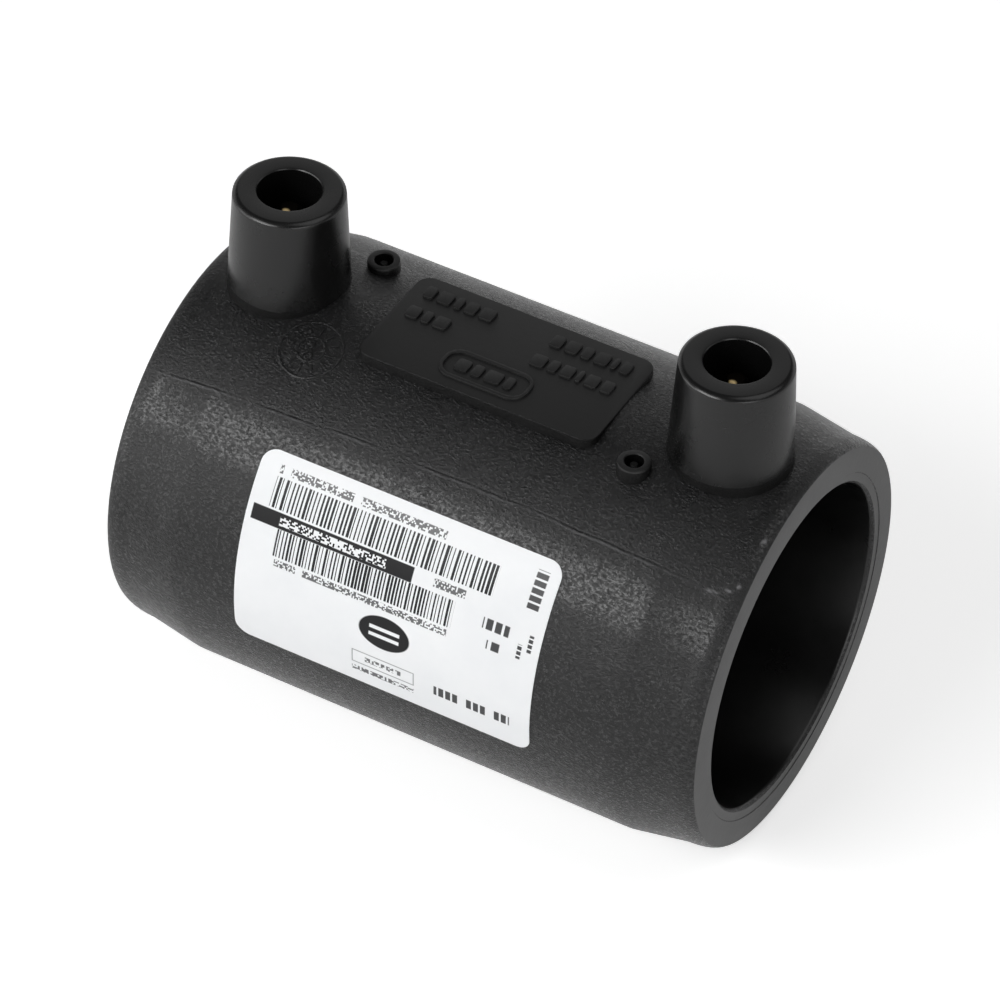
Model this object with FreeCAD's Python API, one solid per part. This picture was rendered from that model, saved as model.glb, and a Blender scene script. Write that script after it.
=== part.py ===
# Electrofusion coupler for 50 mm polyethylene pipe.
# The pipe axis lies along X, the terminals stand up along Z, and the origin is the middle of the bore.
import FreeCAD, Part
import math
import os

os.makedirs("parts", exist_ok=True)

V = FreeCAD.Vector
ORIGIN = V(0, 0, 0)
ALONG_X = V(1, 0, 0)
ALONG_Z = V(0, 0, 1)
PAST = 1.0             # how far a cutting tool runs past the face that it opens

# Barrel: a tube whose ends taper in to a rounded rim
coupler_length = 98.5
wall_thickness = 8.15
taper_length = 12.6
taper_drop = 1.65        # from the barrel down to where the rounded rim starts
rim_round_length = 2.4   # the rim rolls over this far along the pipe axis
rim_round_drop = 0.85    # and this far in towards it
rim_facets = 3

# Bore that the pipes slide into
bore_dia = 50.6
mouth_chamfer = 0.5

# Terminal shrouds, one over each end of the winding
terminal_inset = 12.65   # from the end face to the terminal's axis
terminal_rise = 15.85    # from the top of the barrel to the shroud's rim
shroud_top_dia = 16.62
shroud_draft = 3.0       # degrees
shroud_face_dia = 14.8
shroud_chamfer_drop = 0.7
socket_dia = 9.6
socket_depth = 12.0
socket_edge_chamfer = 0.2

# Contact pins moulded into the shrouds
pin_dia = 4.0
pin_tip_below_rim = 3.2
pin_tip_chamfer = 0.8
pin_collar_dia = 6.4
pin_collar_thickness = 1.2
pin_foot_clear = 1.4     # polyethylene left between the pin's foot and the winding

# Heating wire, buried just under the bore
wire_width = 0.8
wire_cover = 0.5         # polyethylene between the bore and the wire
wire_pitch = 3.7
turns_per_zone = 6
chords_per_turn = 20     # the round turns are drawn as short straight chords
step_half_width = 1.5    # each turn steps over to the next one across this half width

# Raised pad on top, between the terminals
pad_length = 39.2
pad_width = 20.3
pad_rise = 0.2           # above the top of the barrel
pad_corner_radius = 2.6
pad_edge_chamfer = 0.2

# Fusion indicators: a raised ring round a well with a rising pin in it
indicator_from_terminal = 10.2   # along the pipe axis
indicator_y = 10.0
indicator_rise = 1.6     # above the barrel's surface where it stands
indicator_dia = 5.0
indicator_edge_chamfer = 0.25
indicator_well_dia = 2.9
indicator_well_depth = 2.6
indicator_pin_dia = 1.3
indicator_pin_drop = 0.5

# Date dial: a round insert's flat mark, with a raised hub for the arrow
dial_inset = 22.95       # from the left end face
dial_angle = 19.3        # degrees from the top, towards the front
dial_dia = 9.9
dial_drop = 0.45         # how far the flat lies under the barrel's surface at its middle
dial_hub_dia = 4.2
dial_hub_rise = 0.16

# Printed label stuck on the front of the barrel
label_length = 49.5
label_height = 32.0      # measured round the barrel
label_middle_x = -1.0
label_angle = 73.5       # degrees from the top, towards the front
label_thickness = 0.12
label_corner_radius = 2.4

half_length = coupler_length / 2
bore_radius = bore_dia / 2
barrel_radius = bore_radius + wall_thickness
terminal_x = half_length - terminal_inset
terminal_top = barrel_radius + terminal_rise
pad_top = barrel_radius + pad_rise
indicator_x = terminal_x - indicator_from_terminal
indicator_top = math.sqrt(barrel_radius ** 2 - indicator_y ** 2) + indicator_rise
dial_x = dial_inset - half_length
socket_floor = terminal_top - socket_depth
wire_inside = bore_radius + wire_cover
wire_outside = wire_inside + wire_width
pin_foot = wire_outside + pin_foot_clear
root_height = wire_outside + wire_width   # where raised features start, inside the wall


def spin(points, base, axis):
    """Turn a closed outline in the XZ plane all the way round an axis."""
    outline = Part.makePolygon(points + [points[0]])
    return Part.Face(outline).revolve(base, axis, 360)


def round_edges(solid, radius, wanted):
    """Round every edge of the solid that the test picks out."""
    return solid.makeFillet(radius, [edge for edge in solid.Edges if wanted(edge)])


def chamfer_edges(solid, size, wanted):
    """Break every edge of the solid that the test picks out."""
    return solid.makeChamfer(size, [edge for edge in solid.Edges if wanted(edge)])


def is_rim(edge, radius, height):
    """True for a level circular edge of this radius at this height."""
    if not isinstance(edge.Curve, Part.Circle):
        return False
    return abs(edge.Curve.Radius - radius) < 0.01 and abs(edge.BoundBox.ZMin - height) < 0.01


def rounded_rim():
    """Points down the rounded rim of the right end, from the taper to the end face."""
    start = V(half_length - rim_round_length, 0, barrel_radius - taper_drop)
    points = []
    for step in range(rim_facets + 1):
        angle = math.radians(90) * step / rim_facets
        along = rim_round_length * math.sin(angle)
        inward = rim_round_drop * (1 - math.cos(angle))
        points.append(start + V(along, 0, -inward))
    return points


def make_barrel():
    right_half = [V(half_length - taper_length, 0, barrel_radius)] + rounded_rim()
    left_half = [V(-point.x, 0, point.z) for point in reversed(right_half)]
    ends = [V(half_length, 0, 0), V(-half_length, 0, 0)]
    return spin(left_half + right_half + ends, ORIGIN, ALONG_X)


def make_bore_tool():
    """What is cut out for the pipes, with the chamfer at each mouth."""
    right_half = [
        V(half_length - mouth_chamfer, 0, bore_radius),
        V(half_length + PAST, 0, bore_radius + mouth_chamfer + PAST),
    ]
    left_half = [V(-point.x, 0, point.z) for point in reversed(right_half)]
    ends = [V(half_length + PAST, 0, 0), V(-half_length - PAST, 0, 0)]
    return spin(left_half + right_half + ends, ORIGIN, ALONG_X)


def shroud_radius(height):
    """Outer radius of the drafted shroud at a height above the pipe axis."""
    return shroud_top_dia / 2 + (terminal_top - height) * math.tan(math.radians(shroud_draft))


def make_shroud(x):
    shoulder = terminal_top - shroud_chamfer_drop
    outline = [
        V(x, 0, root_height),
        V(x + shroud_radius(root_height), 0, root_height),
        V(x + shroud_radius(shoulder), 0, shoulder),
        V(x + shroud_face_dia / 2, 0, terminal_top),
        V(x, 0, terminal_top),
    ]
    return spin(outline, V(x, 0, 0), ALONG_Z)


def make_socket_tool(x):
    return Part.makeCylinder(socket_dia / 2, socket_depth + PAST, V(x, 0, socket_floor))


def make_pin(x):
    """A turned contact pin: chamfered tip, shank, and a collar whose top is flush with the socket's floor."""
    tip = terminal_top - pin_tip_below_rim
    collar_bottom = socket_floor - pin_collar_thickness
    shank = pin_dia / 2
    collar = pin_collar_dia / 2
    outline = [
        V(x, 0, pin_foot),
        V(x + shank, 0, pin_foot),
        V(x + shank, 0, collar_bottom),
        V(x + collar, 0, collar_bottom),
        V(x + collar, 0, socket_floor),
        V(x + shank, 0, socket_floor),
        V(x + shank, 0, tip - pin_tip_chamfer),
        V(x + shank - pin_tip_chamfer, 0, tip),
        V(x, 0, tip),
    ]
    return spin(outline, V(x, 0, 0), ALONG_Z)


def make_pad():
    height = pad_top - root_height
    corner = V(-pad_length / 2, -pad_width / 2, root_height)
    block = Part.makeBox(pad_length, pad_width, height, corner)
    block = round_edges(block, pad_corner_radius, lambda edge: abs(edge.Length - height) < 0.01)
    at_top = lambda edge: abs(edge.BoundBox.ZMin - pad_top) < 0.01
    return chamfer_edges(block, pad_edge_chamfer, at_top)


def make_indicator_ring(x, y):
    ring = Part.makeCylinder(indicator_dia / 2, indicator_top - root_height, V(x, y, root_height))
    at_rim = lambda edge: is_rim(edge, indicator_dia / 2, indicator_top)
    return chamfer_edges(ring, indicator_edge_chamfer, at_rim)


def make_indicator_well_tool(x, y):
    """The ring-shaped well, with the rising pin left standing in it."""
    floor = V(x, y, indicator_top - indicator_well_depth)
    well = Part.makeCylinder(indicator_well_dia / 2, indicator_well_depth + PAST, floor)
    pin = Part.makeCylinder(indicator_pin_dia / 2, indicator_well_depth - indicator_pin_drop, floor)
    return well.cut(pin)


def make_dial_tool():
    """A flat-bottomed round cut square to the barrel's surface, which leaves the hub standing."""
    flat = barrel_radius - dial_drop
    disc = Part.makeCylinder(dial_dia / 2, PAST, V(dial_x, 0, flat))
    hub = Part.makeCylinder(dial_hub_dia / 2, dial_hub_rise, V(dial_x, 0, flat))
    tool = disc.cut(hub)
    tool.rotate(ORIGIN, ALONG_X, dial_angle)
    return tool


def chord_outline(x, to_flat):
    """A turn's outline: a regular figure with a flat at the top and at the bottom."""
    to_corner = to_flat / math.cos(math.pi / chords_per_turn)
    corners = []
    for index in range(chords_per_turn + 1):
        angle = 2 * math.pi * (index + 0.5) / chords_per_turn
        corners.append(V(x, to_corner * math.sin(angle), to_corner * math.cos(angle)))
    return Part.Face(Part.makePolygon(corners))


def make_turn(middle_x):
    """One turn of the wire, open at the bottom where it steps over to its neighbour."""
    start = middle_x - wire_width / 2
    ring = chord_outline(start, wire_outside).cut(chord_outline(start, wire_inside))
    corner = V(start, -step_half_width, -wire_outside)
    gap = Part.makeBox(wire_width, 2 * step_half_width, wire_width, corner)
    return ring.extrude(V(wire_width, 0, 0)).cut(gap)


def make_step(from_x, to_x):
    """The slanted piece that carries the wire from the end of one turn to the start of the next."""
    half = wire_width / 2
    slant = Part.makePolygon([
        V(from_x - half, -step_half_width, -wire_outside),
        V(from_x + half, -step_half_width, -wire_outside),
        V(to_x + half, step_half_width, -wire_outside),
        V(to_x - half, step_half_width, -wire_outside),
        V(from_x - half, -step_half_width, -wire_outside),
    ])
    return Part.Face(slant).extrude(V(0, 0, wire_width))


def make_lead(x):
    """The upright end of the wire, from its outermost turn up to the foot of the pin."""
    corner = V(x - wire_width / 2, -wire_width / 2, wire_inside)
    return Part.makeBox(wire_width, wire_width, pin_foot - wire_inside, corner)


def turn_places():
    """Middle of each turn along X, from the left terminal to the right one."""
    left = [-terminal_x + index * wire_pitch for index in range(turns_per_zone)]
    return left + [-x for x in reversed(left)]


def make_wire():
    """One wire: a winding round each half of the bore, the link between them and a lead to each pin."""
    places = turn_places()
    lengths = [make_turn(x) for x in places]
    lengths += [make_step(from_x, to_x) for from_x, to_x in zip(places, places[1:])]
    lengths += [make_lead(places[0]), make_lead(places[-1])]
    return lengths[0].multiFuse(lengths[1:]).removeSplitter()


def make_label():
    """A thin sheet bent round the barrel, with rounded corners."""
    sweep = math.degrees(label_height / barrel_radius)
    left = label_middle_x - label_length / 2
    edge = Part.makePolygon([
        V(left, 0, barrel_radius),
        V(left + label_length, 0, barrel_radius),
        V(left + label_length, 0, barrel_radius + label_thickness),
        V(left, 0, barrel_radius + label_thickness),
        V(left, 0, barrel_radius),
    ])
    sheet = Part.Face(edge).revolve(ORIGIN, ALONG_X, sweep)
    sheet.rotate(ORIGIN, ALONG_X, label_angle - sweep / 2)
    return round_edges(sheet, label_corner_radius, lambda edge: abs(edge.Length - label_thickness) < 0.01)


def make_body(moulded_in):
    """The one-piece moulding, closed round the pins and the wire that are moulded into it."""
    body = make_barrel()
    for x in (-terminal_x, terminal_x):
        body = body.fuse(make_shroud(x))
    body = body.fuse(make_pad())
    for side in (-1, 1):
        body = body.fuse(make_indicator_ring(side * indicator_x, -side * indicator_y))
    body = body.cut(make_bore_tool())
    for x in (-terminal_x, terminal_x):
        body = body.cut(make_socket_tool(x))
    at_rim = lambda edge: is_rim(edge, socket_dia / 2, terminal_top)
    body = chamfer_edges(body, socket_edge_chamfer, at_rim)
    for side in (-1, 1):
        body = body.cut(make_indicator_well_tool(side * indicator_x, -side * indicator_y))
    body = body.cut(make_dial_tool())
    return body.cut(moulded_in)


def main():
    left_pin = make_pin(-terminal_x)
    right_pin = make_pin(terminal_x)
    wire = make_wire()
    pieces = {
        "coupler_body": make_body([left_pin, right_pin, wire]),
        "terminal_pin_left": left_pin,
        "terminal_pin_right": right_pin,
        "heating_wire": wire,
        "label": make_label(),
    }
    for name, shape in pieces.items():
        solids = shape.Solids
        print(name, len(solids), "solid", round(shape.Volume, 2), "mm3", "valid", shape.isValid())
        shape.exportStep("parts/" + name + ".step")


main()
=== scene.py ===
import math
import bmesh
import bpy
from mathutils import Matrix, Vector


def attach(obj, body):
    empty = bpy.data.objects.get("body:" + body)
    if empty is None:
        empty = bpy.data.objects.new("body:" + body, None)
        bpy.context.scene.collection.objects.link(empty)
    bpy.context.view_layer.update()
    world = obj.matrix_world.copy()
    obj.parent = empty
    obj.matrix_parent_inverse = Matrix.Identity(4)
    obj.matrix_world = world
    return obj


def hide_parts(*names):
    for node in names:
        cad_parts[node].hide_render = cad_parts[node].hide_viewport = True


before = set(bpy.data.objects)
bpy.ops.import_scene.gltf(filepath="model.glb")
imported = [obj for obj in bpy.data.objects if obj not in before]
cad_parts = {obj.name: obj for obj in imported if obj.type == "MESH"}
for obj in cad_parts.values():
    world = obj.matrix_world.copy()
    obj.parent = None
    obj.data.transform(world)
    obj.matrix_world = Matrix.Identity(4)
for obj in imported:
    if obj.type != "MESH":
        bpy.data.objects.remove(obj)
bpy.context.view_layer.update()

MM = 0.001

# Barrel and mouths, in millimetres from the middle of the bore
HALF_LENGTH = 49.25
BARREL_RADIUS = 33.45
BORE_RADIUS = 25.3
TAPER_START = 36.65
RIM_START = 45.49
RIM_RADIUS = 31.98
RIM_DROP = 1.0
LAND_RADIUS = 27.1
LAND_DEPTH = 0.12
CHAMFER = 0.5

# Terminals
TERMINAL_X = 36.6
TERMINAL_TOP = 49.3
SHROUD_TOP_RADIUS = 8.31
SHROUD_DRAFT = math.tan(math.radians(3.0))
SOCKET_RADIUS = 4.8
SOCKET_FLOOR = 37.3
INSIDE_WALL = 30.0
# Below POLISH_END the shroud has the barrel's grain in a black painted darker as shade.
POLISH_END = 33.5    # below this height the shroud has the barrel's grain

# Pad and its plain raised bars
PAD_SIZE = (39.2, 20.3)
PAD_TOP = 33.65
PAD_CORNER = 2.3
BAR_HEIGHT = 0.4

# Melt indicators
INDICATOR_PLACES = ((-26.4, 10.0), (26.4, -10.0))
INDICATOR_TOP = 33.52
INDICATOR_RADIUS = 2.5
WELL_RADIUS = 1.45
WELL_FLOOR = 30.9
RISER_RADIUS = 0.65
RISER_TOP = 32.9

# Dial
DIAL_X = -26.3
DIAL_ANGLE = math.radians(19.3)
DIAL_RADIUS = 4.95
DIAL_RELIEF = 0.16
DIAL_HUB = (2.2, 1.9)
STROKE_LENGTH = 1.5
STROKE_HEIGHT = 0.12
ARROW_WIDTH = 0.35
ARROW_REACH = 0.8
MARK_WIDTH = 0.3
MARK_REACH = 3.4

# Label
LABEL_LENGTH = 49.5
LABEL_HEIGHT = 32.0
LABEL_MIDDLE_X = -1.0
LABEL_ANGLE = math.radians(73.5)
LABEL_THICKNESS = 0.12
LABEL_CORNER = 2.4

# Print on the label: how soft its edges are, how dark it is, and how much of each pitch it fills
PRINT_EDGE = 0.06
BLOCK_LENGTH = 0.72
BLOCK_SHARE = 0.86
BLOCK_INK = 0.94
SPECK_SHARE = 0.58
RUN_SHARE = 0.84
SPECK_INK = 0.85
FRAME_INK = 0.7
NARROW_BAR = 0.22
WIDE_BAR = 0.8

# Parting line on each side of the barrel
PARTING_ANGLE = math.radians(36.3)
PARTING_BOW = math.radians(0.0011)   # for each millimetre off the middle, squared
LINE_WIDTH = 0.007                   # in radians, as is the step to its lip
LIP_STEP = 0.014


def millimetres(*values):
    return Vector(values) * MM


# Modelling


def start_piece():
    bpy.ops.object.select_all(action="DESELECT")


def finish_piece(name, materials):
    """Leave edit mode, settle the piece at the origin and give it its name and finishes."""
    if bpy.context.object.mode == "EDIT":
        bpy.ops.object.mode_set(mode="OBJECT")
    bpy.ops.object.transform_apply(location=True, rotation=True, scale=True)
    piece = bpy.context.object
    piece.name = name
    piece.data.name = name
    for material in materials:
        piece.data.materials.append(material)
    return piece


def turned(name, middle, along, profile, sides, solid, materials):
    """A round piece: a circle drawn out ring by ring through the (place, radius) pairs of its profile."""
    start_piece()
    turn = (0, math.pi / 2, 0) if along.x else (0, 0, 0)
    fill = "NGON" if solid else "NOTHING"
    first_place, first_radius = profile[0]
    spot = (middle + along * first_place) * MM
    bpy.ops.mesh.primitive_circle_add(
        vertices=sides, radius=first_radius * MM, fill_type=fill, location=spot, rotation=turn)
    bpy.ops.object.mode_set(mode="EDIT")
    for (last_place, last_radius), (place, radius) in zip(profile, profile[1:]):
        step = along * (place - last_place) * MM
        bpy.ops.mesh.extrude_region_move(TRANSFORM_OT_translate={"value": step})
        growth = radius / last_radius
        centre = (middle + along * place) * MM
        bpy.ops.transform.resize(value=(growth, growth, growth), center_override=centre)
    bpy.ops.mesh.select_all(action="SELECT")
    bpy.ops.mesh.remove_doubles(threshold=0.000001)
    bpy.ops.mesh.normals_make_consistent(inside=False)
    return finish_piece(name, materials)


def block(name, middle, size, materials):
    start_piece()
    bpy.ops.mesh.primitive_cube_add(size=1, location=middle * MM)
    bpy.context.object.scale = size * MM
    return finish_piece(name, materials)


def bevel_edges(piece, width, segments, wanted):
    """Round the edges that the test picks out by their two ends."""
    start_piece()
    piece.select_set(True)
    bpy.context.view_layer.objects.active = piece
    bpy.ops.object.mode_set(mode="EDIT")
    bpy.ops.mesh.select_mode(type="EDGE")
    bpy.ops.mesh.select_all(action="DESELECT")
    mesh = bmesh.from_edit_mesh(piece.data)
    for edge in mesh.edges:
        edge.select_set(wanted(edge.verts[0].co / MM, edge.verts[1].co / MM))
    bmesh.update_edit_mesh(piece.data)
    bpy.ops.mesh.bevel(offset=width * MM, segments=segments, affect="EDGES", clamp_overlap=True)
    bpy.ops.object.mode_set(mode="OBJECT")


def join_pieces(keeper, others):
    start_piece()
    for piece in [keeper] + others:
        piece.select_set(True)
    bpy.context.view_layer.objects.active = keeper
    bpy.ops.object.join()
    return keeper


def cut_away(piece, cutter):
    start_piece()
    piece.select_set(True)
    bpy.context.view_layer.objects.active = piece
    cut = piece.modifiers.new("cut", "BOOLEAN")
    cut.operation = "DIFFERENCE"
    cut.solver = "EXACT"
    cut.object = cutter
    bpy.ops.object.modifier_apply(modifier=cut.name)
    bpy.data.objects.remove(cutter)


def smooth(piece, degrees):
    start_piece()
    piece.select_set(True)
    bpy.context.view_layer.objects.active = piece
    bpy.ops.object.shade_smooth_by_angle(angle=math.radians(degrees))


def end_profile():
    """The right end of the tube from the taper round to the bore, as (place along X, radius) pairs."""
    points = [(TAPER_START - 1.2, BARREL_RADIUS), (TAPER_START, BARREL_RADIUS - 0.03)]
    points.append((TAPER_START + 1.2, BARREL_RADIUS - 0.2))
    steps = 12
    for step in range(steps + 1):
        angle = math.pi / 2 * step / steps
        place = RIM_START + (HALF_LENGTH - RIM_START) * math.sin(angle)
        points.append((place, RIM_RADIUS - RIM_DROP * (1 - math.cos(angle))))
    points += [
        (HALF_LENGTH, LAND_RADIUS + 0.12),
        (HALF_LENGTH - LAND_DEPTH, LAND_RADIUS),
        (HALF_LENGTH - LAND_DEPTH, BORE_RADIUS + CHAMFER),
        (HALF_LENGTH - LAND_DEPTH - 0.35, BORE_RADIUS + 0.12),
        (HALF_LENGTH - LAND_DEPTH - 0.7, BORE_RADIUS),
    ]
    return points


def make_tube(finishes):
    right = end_profile()
    left = [(-place, radius) for place, radius in reversed(right)]
    loop = right + left
    tube = turned("coupler_moulding", Vector(), Vector((1, 0, 0)), loop + [loop[0]], 256, False, finishes)
    for face in tube.data.polygons:
        middle = face.center / MM
        reach = math.hypot(middle.y, middle.z)
        # Bore faces take the bore black, which is painted darker as shade.
        if reach < BORE_RADIUS + 0.3 and abs(middle.x) < HALF_LENGTH - 0.2:
            face.material_index = 1
        # End faces take the face grey, which is painted light.
        elif abs(face.normal.x) > 0.9:
            face.material_index = 2
    return tube


def shroud_radius(height):
    return SHROUD_TOP_RADIUS + (TERMINAL_TOP - height) * SHROUD_DRAFT


def make_shroud(name, x, finishes):
    profile = [(place, shroud_radius(place)) for place in (INSIDE_WALL, POLISH_END, 48.3)]
    profile += [(48.7, 8.32), (48.85, 8.25), (49.16, 7.85), (49.26, 7.65), (TERMINAL_TOP, 7.4)]
    profile += [(TERMINAL_TOP, 5.05), (49.25, 4.9), (49.1, SOCKET_RADIUS), (SOCKET_FLOOR, SOCKET_RADIUS)]
    shroud = turned(name, Vector((x, 0, 0)), Vector((0, 0, 1)), profile, 128, True, finishes)
    # Painted shade: faces below POLISH_END take the darker wall black.
    for face in shroud.data.polygons:
        if face.center.z < POLISH_END * MM:
            face.material_index = 1
    return shroud


def make_pad(finishes):
    height = PAD_TOP - INSIDE_WALL
    size = Vector((PAD_SIZE[0], PAD_SIZE[1], height))
    pad = block("pad", Vector((0, 0, INSIDE_WALL + height / 2)), size, finishes)
    bevel_edges(pad, PAD_CORNER, 8, lambda one, other: abs(one.z - other.z) > 1)
    bevel_edges(pad, 0.2, 3, lambda one, other: min(one.z, other.z) > PAD_TOP - 0.01)
    # Painted shade: the pad's walls take the darker wall black.
    for face in pad.data.polygons:
        if face.center.z < (PAD_TOP - 0.02) * MM:
            face.material_index = 1
    return pad


def make_pad_bars(finish):
    """Plain raised blocks in rows."""
    rows = [(-17.3, 6.6, (1.7, 2.3, 1.2, 1.9, 2.3)), (-17.4, 1.5, (2.1, 1.4, 2.3))]
    rows += [(3.9, 6.6, (1.9, 2.1, 1.6, 2.2, 0.9, 1.6)), (3.4, 1.5, (2.3, 1.5, 2.0, 0.9, 2.1, 1.8))]
    rows += [(-5.4, -5.1, (2.2, 1.6, 2.6, 1.4))]
    bars = []
    for left, y, lengths in rows:
        for length in lengths:
            middle = Vector((left + length / 2, y, PAD_TOP))
            bar = block("pad_bar", middle, Vector((length, 2.5, 2 * BAR_HEIGHT)), [finish])
            bevel_edges(bar, 0.45, 4, lambda one, other: abs(one.z - other.z) > 0.1)
            bevel_edges(bar, 0.12, 2, lambda one, other: min(one.z, other.z) > PAD_TOP + 0.1)
            bars.append(bar)
            left += length + 0.55
    return bars


def make_pad_ring(finish):
    """The long rounded ring on the near side of the pad."""
    ring = block("pad_ring", Vector((-0.5, -5.1, PAD_TOP)), Vector((14.4, 6.2, 2 * BAR_HEIGHT)), [finish])
    inside = block("inside", Vector((-0.5, -5.1, PAD_TOP)), Vector((13.2, 5.0, 2)), [finish])
    bevel_edges(ring, 2.6, 10, lambda one, other: abs(one.z - other.z) > 0.1)
    bevel_edges(inside, 2.0, 10, lambda one, other: abs(one.z - other.z) > 0.1)
    cut_away(ring, inside)
    bevel_edges(ring, 0.12, 2, lambda one, other: min(one.z, other.z) > PAD_TOP + 0.1)
    return ring


def make_indicator(name, x, y, finishes):
    profile = [(INSIDE_WALL - 0.1, INDICATOR_RADIUS), (INDICATOR_TOP - 0.35, INDICATOR_RADIUS)]
    profile += [(INDICATOR_TOP - 0.12, INDICATOR_RADIUS - 0.09), (INDICATOR_TOP, INDICATOR_RADIUS - 0.3)]
    profile += [(INDICATOR_TOP, WELL_RADIUS + 0.15), (INDICATOR_TOP - 0.12, WELL_RADIUS)]
    profile += [(WELL_FLOOR, WELL_RADIUS), (WELL_FLOOR, RISER_RADIUS)]
    profile += [(RISER_TOP - 0.15, RISER_RADIUS), (RISER_TOP, RISER_RADIUS - 0.15)]
    ring = turned(name, Vector((x, y, 0)), Vector((0, 0, 1)), profile, 48, True, finishes)
    # Painted shade: the ring's sides, its well and its riser take the darker wall black.
    for face in ring.data.polygons:
        if face.center.z < (INDICATOR_TOP - 0.4) * MM:
            face.material_index = 1
    return ring


def make_well_cutter(x, y, finish):
    profile = [(INSIDE_WALL + 0.1, INDICATOR_RADIUS - 0.3), (INDICATOR_TOP + 2, INDICATOR_RADIUS - 0.3)]
    return turned("well_cutter", Vector((x, y, 0)), Vector((0, 0, 1)), profile, 32, True, [finish])


def lay_on_dial(piece):
    """Bend a piece modelled on top of the barrel over it, then turn it to the dial's place."""
    for vertex in piece.data.vertices:
        fall = BARREL_RADIUS * MM - math.sqrt((BARREL_RADIUS * MM) ** 2 - vertex.co.y ** 2)
        vertex.co.z -= fall
    piece.data.transform(Matrix.Rotation(DIAL_ANGLE, 4, "X"))


def make_dial(finish):
    """The dial: two thin raised rings, a hub with an arrow, and twelve marks."""
    middle = Vector((DIAL_X, 0, 0))
    up = Vector((0, 0, 1))
    base = BARREL_RADIUS - 0.3
    top = BARREL_RADIUS + DIAL_RELIEF
    pieces = []
    for outer, inner in ((DIAL_RADIUS, DIAL_RADIUS - 0.35), DIAL_HUB):
        ring = [(base, outer), (top - 0.04, outer), (top, outer - 0.08)]
        ring += [(top, inner + 0.08), (top - 0.04, inner), (base, inner), (base, outer)]
        pieces.append(turned("dial_ring", middle, up, ring, 96, False, [finish]))
    strokes = [("dial_arrow", ARROW_WIDTH, ARROW_REACH, angle) for angle in (0, 150, 210)]
    strokes += [("dial_mark", MARK_WIDTH, MARK_REACH, 30 * step) for step in range(12)]
    for name, width, reach, angle in strokes:
        size = Vector((width, STROKE_LENGTH, STROKE_HEIGHT))
        stroke = block(name, up * (top - STROKE_HEIGHT / 2), size, [finish])
        bevel_edges(stroke, 0.04, 2, lambda one, other: min(one.z, other.z) > top - 0.05)
        turn = Matrix.Rotation(math.radians(angle), 4, "Z")
        out = Matrix.Translation((0, reach * MM, 0))
        stroke.data.transform(Matrix.Translation((DIAL_X * MM, 0, 0)) @ turn @ out)
        pieces.append(stroke)
    for piece in pieces:
        lay_on_dial(piece)
    return pieces


def make_label(finish):
    """A rounded sheet, cut into strips and wrapped round the barrel."""
    start_piece()
    bpy.ops.mesh.primitive_plane_add(size=1)
    bpy.context.object.scale = (LABEL_LENGTH * MM, LABEL_HEIGHT * MM, 1)
    bpy.ops.object.transform_apply(scale=True)
    bpy.ops.object.mode_set(mode="EDIT")
    bpy.ops.mesh.bevel(offset=LABEL_CORNER * MM, segments=10, affect="VERTICES")
    strips = 48
    for strip in range(1, strips):
        bpy.ops.mesh.select_all(action="SELECT")
        height = (strip / strips - 0.5) * LABEL_HEIGHT * MM
        bpy.ops.mesh.bisect(plane_co=(0, height, 0), plane_no=(0, 1, 0))
    label = finish_piece("printed_label", [finish])
    radius = (BARREL_RADIUS + 0.01) * MM
    for vertex in label.data.vertices:
        angle = LABEL_ANGLE - vertex.co.y / (BARREL_RADIUS * MM)
        across = vertex.co.x + LABEL_MIDDLE_X * MM
        vertex.co = Vector((across, -radius * math.sin(angle), radius * math.cos(angle)))
    thicken = label.modifiers.new("film", "SOLIDIFY")
    thicken.thickness = (LABEL_THICKNESS - 0.02) * MM
    thicken.offset = 1
    bpy.ops.object.modifier_apply(modifier=thicken.name)
    smooth(label, 35)
    return label


# Finishes


class Sheet:
    """A short way to lay out the nodes of a finish."""

    def __init__(self, tree):
        self.tree = tree

    def add(self, kind, values=None, **settings):
        node = self.tree.nodes.new(kind)
        for name, value in settings.items():
            setattr(node, name, value)
        for name, value in (values or {}).items():
            self.feed(node.inputs[name], value)
        return node

    def feed(self, socket, value):
        if isinstance(value, bpy.types.NodeSocket):
            self.tree.links.new(value, socket)
        else:
            socket.default_value = value

    def maths(self, operation, *values):
        node = self.add("ShaderNodeMath", operation=operation)
        for socket, value in zip(node.inputs, values):
            self.feed(socket, value)
        return node.outputs[0]

    def step_range(self, value, low, high, start, end):
        names = {"Value": value, "From Min": low, "From Max": high, "To Min": start, "To Max": end}
        return self.add("ShaderNodeMapRange", names, clamp=True).outputs["Result"]

    def noise(self, vector, scale, detail=2.0, roughness=0.5):
        names = {"Vector": vector, "Scale": scale, "Detail": detail, "Roughness": roughness}
        return self.add("ShaderNodeTexNoise", names).outputs["Fac"]

    def blend(self, amount, first, second):
        node = self.add("ShaderNodeMix", data_type="RGBA")
        self.feed(node.inputs[0], amount)
        self.feed(node.inputs[6], first)
        self.feed(node.inputs[7], second)
        return node.outputs[2]

    def placed(self, group, values):
        """The node that puts a group in this finish, with its own values."""
        node = self.add("ShaderNodeGroup", node_tree=group)
        for name, value in values.items():
            self.feed(node.inputs[name], value)
        return node


def new_group(name, inputs, outputs):
    group = bpy.data.node_groups.new(name, "ShaderNodeTree")
    for label, kind in inputs:
        group.interface.new_socket(name=label, in_out="INPUT", socket_type=kind)
    for label, kind in outputs:
        group.interface.new_socket(name=label, in_out="OUTPUT", socket_type=kind)
    sheet = Sheet(group)
    return group, sheet, sheet.add("NodeGroupInput"), sheet.add("NodeGroupOutput")


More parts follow.
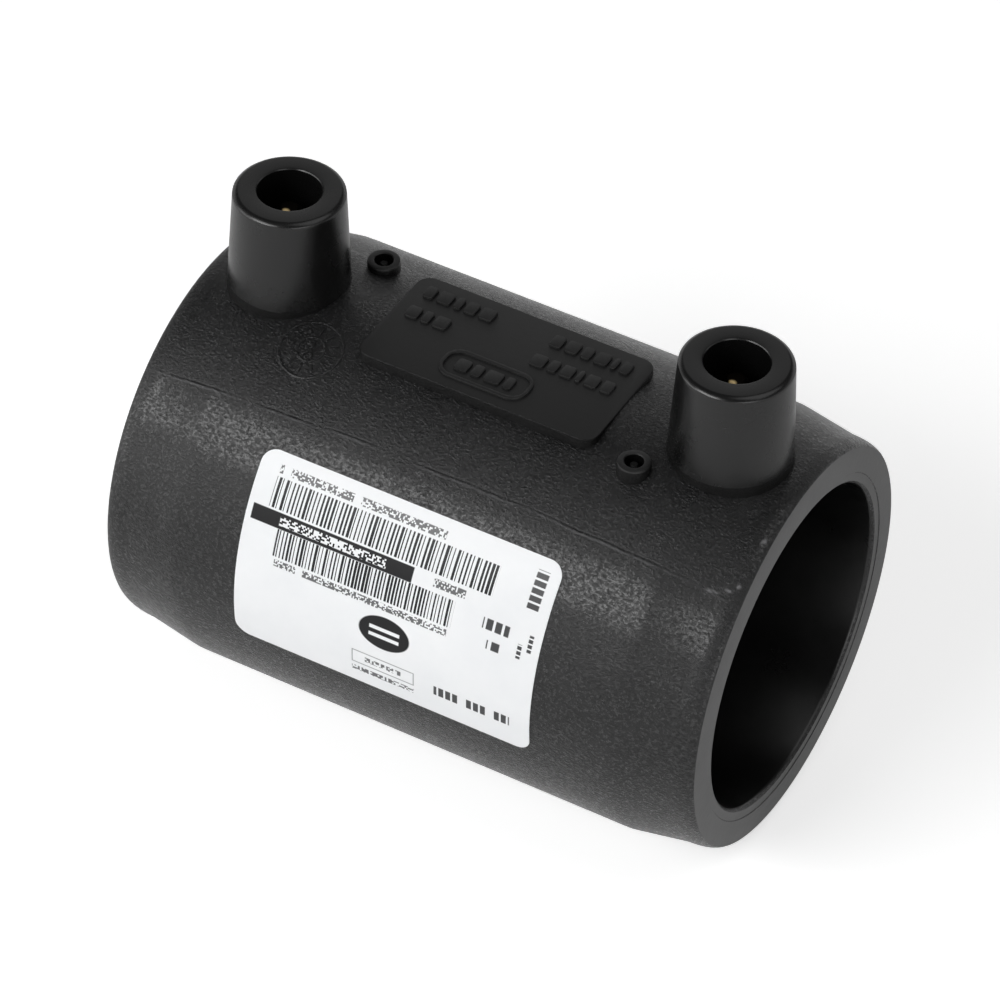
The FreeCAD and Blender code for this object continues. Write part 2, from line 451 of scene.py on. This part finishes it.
def make_grain_group():
    """Spark-eroded grain: pebbles, finer grit and a slow drift of tone."""
    inputs = [("Place", "NodeSocketVector"), ("Pebble Scale", "NodeSocketFloat"), ("Grit", "NodeSocketFloat")]
    outputs = [("Height", "NodeSocketFloat"), ("Tone", "NodeSocketFloat")]
    group, sheet, given, made = new_group("spark_grain", inputs, outputs)
    place = given.outputs["Place"]
    scale = given.outputs["Pebble Scale"]
    squeeze = sheet.add(
        "ShaderNodeMapping", {"Vector": place, "Scale": (0.75, 1.25, 1.0), "Rotation": (0, 0, 0.6)})
    pebbles = sheet.noise(squeeze.outputs[0], scale, 3.0, 0.62)
    grit = sheet.noise(place, sheet.maths("MULTIPLY", scale, 2.7), 2.0, 0.6)
    lumps = sheet.maths("MULTIPLY", grit, given.outputs["Grit"])
    sheet.feed(made.inputs["Height"], sheet.maths("ADD", pebbles, lumps))
    sheet.feed(made.inputs["Tone"], sheet.noise(place, 90.0, 4.0, 0.6))
    return group


def make_line_group():
    """A soft ridge where a value crosses a middle, fading out over a width."""
    inputs = [("Value", "NodeSocketFloat"), ("Middle", "NodeSocketFloat"), ("Width", "NodeSocketFloat")]
    group, sheet, given, made = new_group("fine_line", inputs, [("Mask", "NodeSocketFloat")])
    away = sheet.maths("ABSOLUTE", sheet.maths("SUBTRACT", given.outputs["Value"], given.outputs["Middle"]))
    mask = sheet.step_range(away, 0.0, given.outputs["Width"], 1.0, 0.0)
    sheet.feed(made.inputs["Mask"], mask)
    return group


def new_finish(name):
    finish = bpy.data.materials.new(name)
    finish.use_nodes = True
    sheet = Sheet(finish.node_tree)
    shader = finish.node_tree.nodes["Principled BSDF"]
    place = sheet.add("ShaderNodeTexCoord").outputs["Object"]
    return finish, sheet, shader, place


def split(sheet, place):
    parts = sheet.add("ShaderNodeSeparateXYZ", {"Vector": place})
    return parts.outputs[0], parts.outputs[1], parts.outputs[2]


def around(sheet, y, z):
    """Angle from the top of the barrel towards the front."""
    return sheet.maths("ARCTAN2", sheet.maths("MULTIPLY", y, -1.0), z)


def bump(sheet, shader, height, distance, strength=1.0):
    node = sheet.add("ShaderNodeBump", {"Height": height, "Distance": distance, "Strength": strength})
    sheet.feed(shader.inputs["Normal"], node.outputs["Normal"])


def squared_reach(sheet, across, down):
    return sheet.maths("ADD", sheet.maths("POWER", across, 2.0), sheet.maths("POWER", down, 2.0))


def spot(sheet, x, angle, spot_x, spot_angle, long, wide):
    """1 at a place on the barrel, fading to 0 at its edge."""
    across = sheet.maths("DIVIDE", sheet.maths("SUBTRACT", x, spot_x * MM), long * MM)
    away = sheet.maths("SUBTRACT", angle, math.radians(spot_angle))
    down = sheet.maths("DIVIDE", sheet.maths("MULTIPLY", away, BARREL_RADIUS), wide)
    reach = sheet.maths("SQRT", squared_reach(sheet, across, down))
    return sheet.step_range(reach, 0.35, 1.0, 1.0, 0.0)


# Pale scuffs: place along X, angle from the top in degrees, and half their length and width
SCUFFS = ((48.2, 22.3, 0.5, 1.5), (47.9, 35.0, 0.5, 0.5), (44.6, 38.6, 1.3, 0.4), (46.8, 37.0, 0.9, 0.35))


def grained_black(grain, line):
    """Barrel: pebbled black with its parting lines and a few pale scuffs, a painted highlight along the lip
    below each parting line, and pebble tops painted lighter, partly as wear and partly as painted sparkle.
    """
    finish, sheet, shader, place = new_finish("pebbled_black")
    texture = sheet.placed(grain, {"Place": place, "Pebble Scale": 2400.0, "Grit": 0.35})
    x, y, z = split(sheet, place)
    angle = around(sheet, y, z)
    bow = sheet.maths("MULTIPLY", sheet.maths("POWER", sheet.maths("DIVIDE", x, MM), 2.0), PARTING_BOW)
    side = sheet.maths("SUBTRACT", sheet.maths("ABSOLUTE", angle), bow)
    wander = sheet.step_range(sheet.noise(place, 90.0, 3.0), 0.3, 0.7, -0.006, 0.006)
    side = sheet.maths("ADD", side, wander)
    crease = sheet.placed(line, {"Value": side, "Middle": PARTING_ANGLE, "Width": LINE_WIDTH}).outputs["Mask"]
    lip_angle = PARTING_ANGLE + LIP_STEP
    lip = sheet.placed(line, {"Value": side, "Middle": lip_angle, "Width": LINE_WIDTH}).outputs["Mask"]
    patches = sheet.step_range(sheet.noise(place, 110.0, 3.0), 0.42, 0.6, 0.15, 1.0)
    crease = sheet.maths("MULTIPLY", crease, patches)
    # Painted highlight: a faint pale line along the lip just below each parting line.
    painted_highlight = sheet.maths("MULTIPLY", sheet.maths("MULTIPLY", lip, patches), 0.16)
    flecks = sheet.step_range(sheet.noise(place, 900.0, 4.0, 0.7), 0.4, 0.65, 0.0, 0.5)
    # The marks start from that painted highlight; the pale scuffs added next are real wear.
    marks = painted_highlight
    for scuff in SCUFFS:
        marks = sheet.maths("MAXIMUM", marks, sheet.maths("MULTIPLY", spot(sheet, x, angle, *scuff), flecks))
    tone = sheet.step_range(texture.outputs["Tone"], 0.3, 0.7, 0.0, 1.0)
    black = sheet.blend(tone, (0.004, 0.004, 0.0042, 1), (0.0075, 0.0075, 0.0077, 1))
    # Pebble tops painted lighter: partly worn tops, partly painted sparkle highlight.
    peaks = sheet.step_range(texture.outputs["Height"], 0.74, 0.9, 0.0, 1.0)
    black = sheet.blend(peaks, black, (0.03, 0.03, 0.031, 1))
    colour = sheet.blend(marks, black, (0.32, 0.32, 0.33, 1))
    sheet.feed(shader.inputs["Base Color"], colour)
    gloss = sheet.step_range(texture.outputs["Tone"], 0.3, 0.7, 0.24, 0.33)
    polish = sheet.maths("MULTIPLY", peaks, 0.1)
    sheet.feed(shader.inputs["Roughness"], sheet.maths("SUBTRACT", gloss, polish))
    height = sheet.maths("ADD", texture.outputs["Height"], sheet.maths("MULTIPLY", crease, -0.5))
    sparkle = sheet.step_range(texture.outputs["Height"], 0.6, 0.8, 0.0, 0.5)
    shade = sheet.step_range(crease, 0.0, 1.0, 1.0, 0.0)
    sheet.feed(shader.inputs["Coat Weight"], sheet.maths("MULTIPLY", sparkle, shade))
    shader.inputs["Coat Roughness"].default_value = 0.2
    shader.inputs["Specular IOR Level"].default_value = 0.36
    bump(sheet, shader, height, 0.00018)
    return finish


def shade_painted_black(grain):
    """Painted shade: a darker, less glossy copy of the pebbled black for the walls of what stands up from the
    barrel, the indicator wells and the foot of each shroud.
    """
    finish, sheet, shader, place = new_finish("shade_painted_black")
    texture = sheet.placed(grain, {"Place": place, "Pebble Scale": 2400.0, "Grit": 0.35})
    tone = sheet.step_range(texture.outputs["Tone"], 0.3, 0.7, 0.0, 1.0)
    black = sheet.blend(tone, (0.002, 0.002, 0.002, 1), (0.004, 0.004, 0.004, 1))
    sheet.feed(shader.inputs["Base Color"], black)
    sheet.feed(shader.inputs["Roughness"], sheet.step_range(texture.outputs["Tone"], 0.3, 0.7, 0.36, 0.46))
    shader.inputs["Specular IOR Level"].default_value = 0.2
    bump(sheet, shader, texture.outputs["Height"], 0.00013)
    return finish


def smooth_black(name, grain, shade, roughness, depth):
    """Smoother stretches of the same moulding."""
    finish, sheet, shader, place = new_finish(name)
    texture = sheet.placed(grain, {"Place": place, "Pebble Scale": 900.0, "Grit": 0.15})
    tone = sheet.step_range(texture.outputs["Tone"], 0.3, 0.7, 0.0, 1.0)
    low = tuple(shade * 0.85 for channel in range(3)) + (1,)
    high = tuple(shade * 1.15 for channel in range(3)) + (1,)
    sheet.feed(shader.inputs["Base Color"], sheet.blend(tone, low, high))
    gloss = sheet.step_range(texture.outputs["Tone"], 0.3, 0.7, roughness - 0.04, roughness + 0.04)
    sheet.feed(shader.inputs["Roughness"], gloss)
    bump(sheet, shader, texture.outputs["Height"], depth)
    return finish


def pin_metal(grain):
    """Brass painted almost black as shade, with a painted highlight spot at the front of each tip."""
    finish, sheet, shader, place = new_finish("pin_brass")
    texture = sheet.placed(grain, {"Place": place, "Pebble Scale": 2500.0, "Grit": 0.5})
    x, y = split(sheet, place)[:2]
    across = sheet.maths("SUBTRACT", sheet.maths("ABSOLUTE", x), TERMINAL_X * MM)
    back = sheet.maths("ADD", y, 1.15 * MM)
    reach = sheet.maths("SQRT", squared_reach(sheet, across, back))
    painted_highlight = sheet.step_range(reach, 0.35 * MM, 0.75 * MM, 1.0, 0.0)
    # Painted shade and highlight: the brass is set almost black for the shade in the socket, and bright only
    # in the spot at the front of each tip.
    brass = sheet.blend(painted_highlight, (0.003, 0.002, 0.001, 1), (0.95, 0.72, 0.36, 1))
    sheet.feed(shader.inputs["Base Color"], brass)
    sheet.feed(shader.inputs["Roughness"], sheet.step_range(texture.outputs["Tone"], 0.3, 0.7, 0.45, 0.55))
    sheet.feed(shader.inputs["Metallic"], sheet.step_range(painted_highlight, 0.0, 1.0, 1.0, 0.6))
    bump(sheet, shader, texture.outputs["Height"], 0.00001)
    return finish


def metal(name, grain, colour, roughness):
    finish, sheet, shader, place = new_finish(name)
    texture = sheet.placed(grain, {"Place": place, "Pebble Scale": 2500.0, "Grit": 0.5})
    tone = sheet.step_range(texture.outputs["Tone"], 0.3, 0.7, 0.0, 1.0)
    dull = tuple(channel * 0.8 for channel in colour) + (1,)
    sheet.feed(shader.inputs["Base Color"], sheet.blend(tone, dull, colour + (1,)))
    sheet.feed(shader.inputs["Roughness"], sheet.step_range(tone, 0.0, 1.0, roughness, roughness + 0.1))
    shader.inputs["Metallic"].default_value = 1.0
    bump(sheet, shader, texture.outputs["Height"], 0.00001)
    return finish


class Print:
    """Plain shapes printed on the label, at places in millimetres from its top left corner."""

    def __init__(self, sheet, across, down):
        self.sheet = sheet
        self.across = across
        self.down = down
        self.ink = 0.0

    def inside(self, value, low, high):
        middle = (low + high) / 2
        away = self.sheet.maths("ABSOLUTE", self.sheet.maths("SUBTRACT", value, middle))
        half = (high - low) / 2
        return self.sheet.step_range(away, half - PRINT_EDGE, half + PRINT_EDGE, 1.0, 0.0)

    def field(self, left, top, right, bottom):
        return self.sheet.maths(
            "MULTIPLY", self.inside(self.across, left, right), self.inside(self.down, top, bottom))

    def lay(self, mask, strength=1.0):
        self.ink = self.sheet.maths("MAXIMUM", self.ink, self.sheet.maths("MULTIPLY", mask, strength))

    def wipe(self, mask):
        self.ink = self.sheet.maths("MULTIPLY", self.ink, self.sheet.maths("SUBTRACT", 1.0, mask))

    def draw(self, place, seed):
        """A number from 0 to 1 for each whole step of a place, picked by a fixed seed."""
        cell = self.sheet.maths("ADD", self.sheet.maths("FLOOR", place), seed)
        chance = self.sheet.add("ShaderNodeTexWhiteNoise", {"W": cell}, noise_dimensions="1D")
        return chance.outputs["Value"]

    def stripes(self, value, pitch, share, seed):
        """Ink or bare for each pitch along a value, picked by a fixed seed."""
        chance = self.draw(self.sheet.maths("DIVIDE", value, pitch), seed)
        return self.sheet.maths("LESS_THAN", chance, share)

    def bars(self, left, top, right, bottom, pitch, seed):
        """Upright bars, one to each pitch, with widths picked by a fixed seed."""
        place = self.sheet.maths("DIVIDE", self.across, pitch)
        width = self.sheet.step_range(self.draw(place, seed), 0.0, 1.0, NARROW_BAR, WIDE_BAR)
        stripes = self.sheet.maths("LESS_THAN", self.sheet.maths("FRACT", place), width)
        self.lay(self.sheet.maths("MULTIPLY", self.field(left, top, right, bottom), stripes))

    def dashes(self, left, top, right, bottom, pitch, seed, upright=False):
        """A row of small blocks."""
        value = self.down if upright else self.across
        part = self.sheet.maths("FRACT", self.sheet.maths("DIVIDE", value, pitch))
        blocks = self.sheet.maths("LESS_THAN", part, BLOCK_LENGTH)
        shown = self.sheet.maths("MULTIPLY", blocks, self.stripes(value, pitch, BLOCK_SHARE, seed))
        self.lay(self.sheet.maths("MULTIPLY", self.field(left, top, right, bottom), shown), BLOCK_INK)

    def specks(self, left, top, right, bottom, cell, run, seed, bare=False):
        """A row of fine specks in short groups."""
        column = self.sheet.maths("FLOOR", self.sheet.maths("DIVIDE", self.across, cell))
        row = self.sheet.maths("FLOOR", self.sheet.maths("DIVIDE", self.down, cell))
        key = self.sheet.add("ShaderNodeCombineXYZ", {"X": column, "Y": row, "Z": float(seed)}).outputs[0]
        chance = self.sheet.add("ShaderNodeTexWhiteNoise", {"Vector": key}, noise_dimensions="3D")
        dark = self.sheet.maths("LESS_THAN", chance.outputs["Value"], SPECK_SHARE)
        shown = self.sheet.maths("MULTIPLY", dark, self.stripes(self.across, run, RUN_SHARE, seed))
        shown = self.sheet.maths("MULTIPLY", self.field(left, top, right, bottom), shown)
        if bare:
            self.wipe(shown)
        else:
            self.lay(shown, SPECK_INK)

    def oval(self, x, y, half_width, half_height):
        wide = self.sheet.maths("DIVIDE", self.sheet.maths("SUBTRACT", self.across, x), half_width)
        high = self.sheet.maths("DIVIDE", self.sheet.maths("SUBTRACT", self.down, y), half_height)
        squares = squared_reach(self.sheet, wide, high)
        self.lay(self.sheet.step_range(squares, 0.95, 1.05, 1.0, 0.0))

    def frame(self, left, top, right, bottom, width):
        hollow = self.field(left + width, top + width, right - width, bottom - width)
        self.lay(self.sheet.maths("SUBTRACT", self.field(left, top, right, bottom), hollow), FRAME_INK)


def printed_film(grain):
    """White label film with bar fields, a black band and plain marks."""
    finish, sheet, shader, place = new_finish("printed_film")
    x, y, z = split(sheet, place)
    angle = around(sheet, y, z)
    left = LABEL_MIDDLE_X - LABEL_LENGTH / 2
    top = LABEL_ANGLE - LABEL_HEIGHT / 2 / BARREL_RADIUS
    across = sheet.maths("SUBTRACT", sheet.maths("DIVIDE", x, MM), left)
    down = sheet.maths("MULTIPLY", sheet.maths("SUBTRACT", angle, top), BARREL_RADIUS)
    marks = Print(sheet, across, down)
    marks.specks(3.3, 1.8, 31.0, 3.1, 0.24, 1.3, 3)
    marks.bars(3.3, 3.6, 40.3, 8.2, 0.62, 11)
    marks.bars(5.6, 10.9, 35.2, 15.2, 0.55, 40)
    marks.wipe(marks.field(0.9, 8.2, 40.3, 10.9))
    marks.lay(marks.field(0.9, 8.5, 27.8, 10.9))
    marks.specks(5.6, 9.0, 23.4, 10.4, 0.28, 1.6, 17, bare=True)
    marks.specks(6.0, 15.6, 34.8, 16.7, 0.22, 1.2, 7)
    marks.specks(31.2, 8.8, 36.4, 10.1, 0.24, 2.1, 9)
    marks.oval(25.1, 20.5, 4.2, 2.8)
    marks.wipe(marks.field(22.6, 19.6, 27.6, 20.2))
    marks.wipe(marks.field(22.6, 20.9, 27.6, 21.5))
    marks.frame(20.0, 25.4, 30.4, 27.9, 0.16)
    marks.specks(22.2, 26.2, 28.2, 27.1, 0.3, 1.9, 5)
    marks.specks(20.0, 28.6, 30.4, 29.5, 0.3, 2.1, 14)
    marks.dashes(40.0, 11.4, 44.3, 13.1, 1.45, 2)
    marks.dashes(41.2, 14.6, 43.3, 16.0, 2.1, 21)
    marks.dashes(45.8, 1.9, 47.7, 8.7, 1.15, 30, upright=True)
    marks.dashes(46.0, 13.3, 46.7, 15.6, 0.8, 31, upright=True)
    marks.dashes(47.5, 11.4, 48.2, 14.1, 0.8, 33, upright=True)
    marks.dashes(33.7, 26.2, 46.2, 27.9, 1.15, 25)
    texture = sheet.placed(grain, {"Place": place, "Pebble Scale": 700.0, "Grit": 0.2})
    tone = sheet.step_range(texture.outputs["Tone"], 0.3, 0.7, 0.0, 1.0)
    white = sheet.blend(tone, (0.86, 0.875, 0.89, 1), (0.91, 0.92, 0.93, 1))
    sheet.feed(shader.inputs["Base Color"], sheet.blend(marks.ink, white, (0.008, 0.008, 0.009, 1)))
    sheet.feed(shader.inputs["Roughness"], sheet.step_range(tone, 0.0, 1.0, 0.36, 0.44))
    shader.inputs["Specular IOR Level"].default_value = 0.3
    bump(sheet, shader, texture.outputs["Height"], 0.00001)
    return finish


# Stage


def make_floor():
    start_piece()
    bpy.ops.mesh.primitive_plane_add(size=8, location=(0, 0, -BARREL_RADIUS * MM))
    floor = finish_piece("floor", [])
    finish, sheet, shader, place = new_finish("pale_floor")
    cloud = sheet.step_range(sheet.noise(place, 3.0), 0.3, 0.7, 0.0, 1.0)
    sheet.feed(shader.inputs["Base Color"], sheet.blend(cloud, (0.9, 0.9, 0.9, 1), (0.92, 0.92, 0.92, 1)))
    shader.inputs["Roughness"].default_value = 0.9
    shader.inputs["Specular IOR Level"].default_value = 0.0
    glow = sheet.add("ShaderNodeEmission", {"Color": (1, 1, 1, 1)})
    rays = sheet.add("ShaderNodeLightPath").outputs
    mirrored = sheet.maths("MULTIPLY", rays["Is Glossy Ray"], 0.15)
    seen = sheet.maths("MULTIPLY", rays["Is Camera Ray"], 0.56)
    sheet.feed(glow.inputs["Strength"], sheet.maths("ADD", seen, mirrored))
    both = sheet.add("ShaderNodeAddShader")
    sheet.tree.links.new(shader.outputs[0], both.inputs[0])
    sheet.tree.links.new(glow.outputs[0], both.inputs[1])
    sheet.tree.links.new(both.outputs[0], sheet.tree.nodes["Material Output"].inputs["Surface"])
    floor.data.materials.append(finish)


def make_softbox(name, direction, distance, size, power):
    """A soft lamp that faces the coupler from a direction."""
    data = bpy.data.lights.new(name, "AREA")
    data.shape = "RECTANGLE"
    data.size = size[0]
    data.size_y = size[1]
    data.energy = power
    lamp = bpy.data.objects.new(name, data)
    bpy.context.scene.collection.objects.link(lamp)
    way = Vector(direction).normalized()
    lamp.location = way * distance
    lamp.rotation_euler = (-way).to_track_quat("-Z", "Y").to_euler()


def make_world():
    world = bpy.data.worlds.new("studio")
    world.use_nodes = True
    sheet = Sheet(world.node_tree)
    back = world.node_tree.nodes["Background"]
    rays = sheet.add("ShaderNodeLightPath").outputs
    height = split(sheet, sheet.add("ShaderNodeTexCoord").outputs["Generated"])[2]
    horizon = sheet.step_range(height, 0.05, 0.45, 1.0, 0.0)
    mirrored = sheet.maths("MULTIPLY", rays["Is Glossy Ray"], horizon)
    shown = sheet.maths("MAXIMUM", sheet.maths("MAXIMUM", rays["Is Camera Ray"], mirrored), 0.1)
    sheet.feed(back.inputs["Color"], (1, 1, 1, 1))
    sheet.feed(back.inputs["Strength"], shown)
    bpy.context.scene.world = world


def make_camera():
    """The photo's own view: 42 degrees down, 28 degrees round from the front."""
    data = bpy.data.cameras.new("camera")
    data.lens = 189.97
    data.sensor_width = 36.0
    data.clip_end = 20
    camera = bpy.data.objects.new("camera", data)
    bpy.context.scene.collection.objects.link(camera)
    forward = Vector((-0.34935, 0.65335, -0.67164)).normalized()
    right = Vector((0.86983, 0.49262, 0.02677)).normalized()
    up = right.cross(forward)
    turn = Matrix((right, up, -forward)).transposed().to_4x4()
    camera.matrix_world = Matrix.Translation(millimetres(272.445, -509.951, 529.914)) @ turn
    bpy.context.scene.camera = camera


def main():
    grain = make_grain_group()
    line = make_line_group()
    barrel_finish = grained_black(grain, line)
    painted_shade_finish = shade_painted_black(grain)
    # The bore's smooth black is set darker than the barrel's: painted shade inside the tube.
    painted_shade_bore_finish = smooth_black("bore_black_painted_shade", grain, 0.001, 0.3, 0.00001)
    # The end faces are the same black plastic with a matte finish; their grey is painted light, set lighter
    # for the floor light they reflect.
    painted_light_face_finish = smooth_black("face_grey_painted_light", grain, 0.12, 0.58, 0.00006)
    shroud_finish = smooth_black("shroud_black", grain, 0.004, 0.27, 0.000008)
    pad_finish = smooth_black("pad_black", grain, 0.006, 0.48, 0.00002)

    tube = make_tube([barrel_finish, painted_shade_bore_finish, painted_light_face_finish])
    for x, y in INDICATOR_PLACES:
        cut_away(tube, make_well_cutter(x, y, barrel_finish))
    shroud_finishes = [shroud_finish, painted_shade_finish]
    parts = [make_shroud("left_shroud", -TERMINAL_X, shroud_finishes)]
    parts.append(make_shroud("right_shroud", TERMINAL_X, shroud_finishes))
    top_finishes = [pad_finish, painted_shade_finish]
    parts += [make_pad(top_finishes)] + make_pad_bars(pad_finish)
    parts += [make_pad_ring(pad_finish)] + make_dial(barrel_finish)
    for x, y in INDICATOR_PLACES:
        parts.append(make_indicator("indicator", x, y, top_finishes))
    moulding = join_pieces(tube, parts)
    smooth(moulding, 32)
    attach(moulding, "root")
    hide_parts("coupler_body")

    label = make_label(printed_film(grain))
    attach(label, "root")
    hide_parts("label")

    brass = pin_metal(grain)
    wire = metal("wire_metal", grain, (0.5, 0.46, 0.42), 0.35)
    for node, finish in (("terminal_pin_left", brass), ("terminal_pin_right", brass), ("heating_wire", wire)):
        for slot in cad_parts[node].material_slots:
            slot.material = finish

    bpy.context.scene.view_settings.view_transform = "Standard"
    make_floor()
    make_world()
    make_softbox("key", (-0.35, -0.74, 0.57), 0.9, (0.6, 0.35), 4.5)
    make_softbox("left", (-0.95, -0.55, 0.25), 0.9, (0.5, 0.5), 1.6)
    make_softbox("right", (0.9, -0.75, 0.35), 0.9, (0.5, 0.5), 1.5)
    make_softbox("top", (0.5, 0.1, 1.0), 0.9, (0.7, 0.7), 1.5)
    make_softbox("back", (-0.35, 0.65, 0.67), 1.0, (0.6, 0.6), 0.4)
    make_camera()


main()
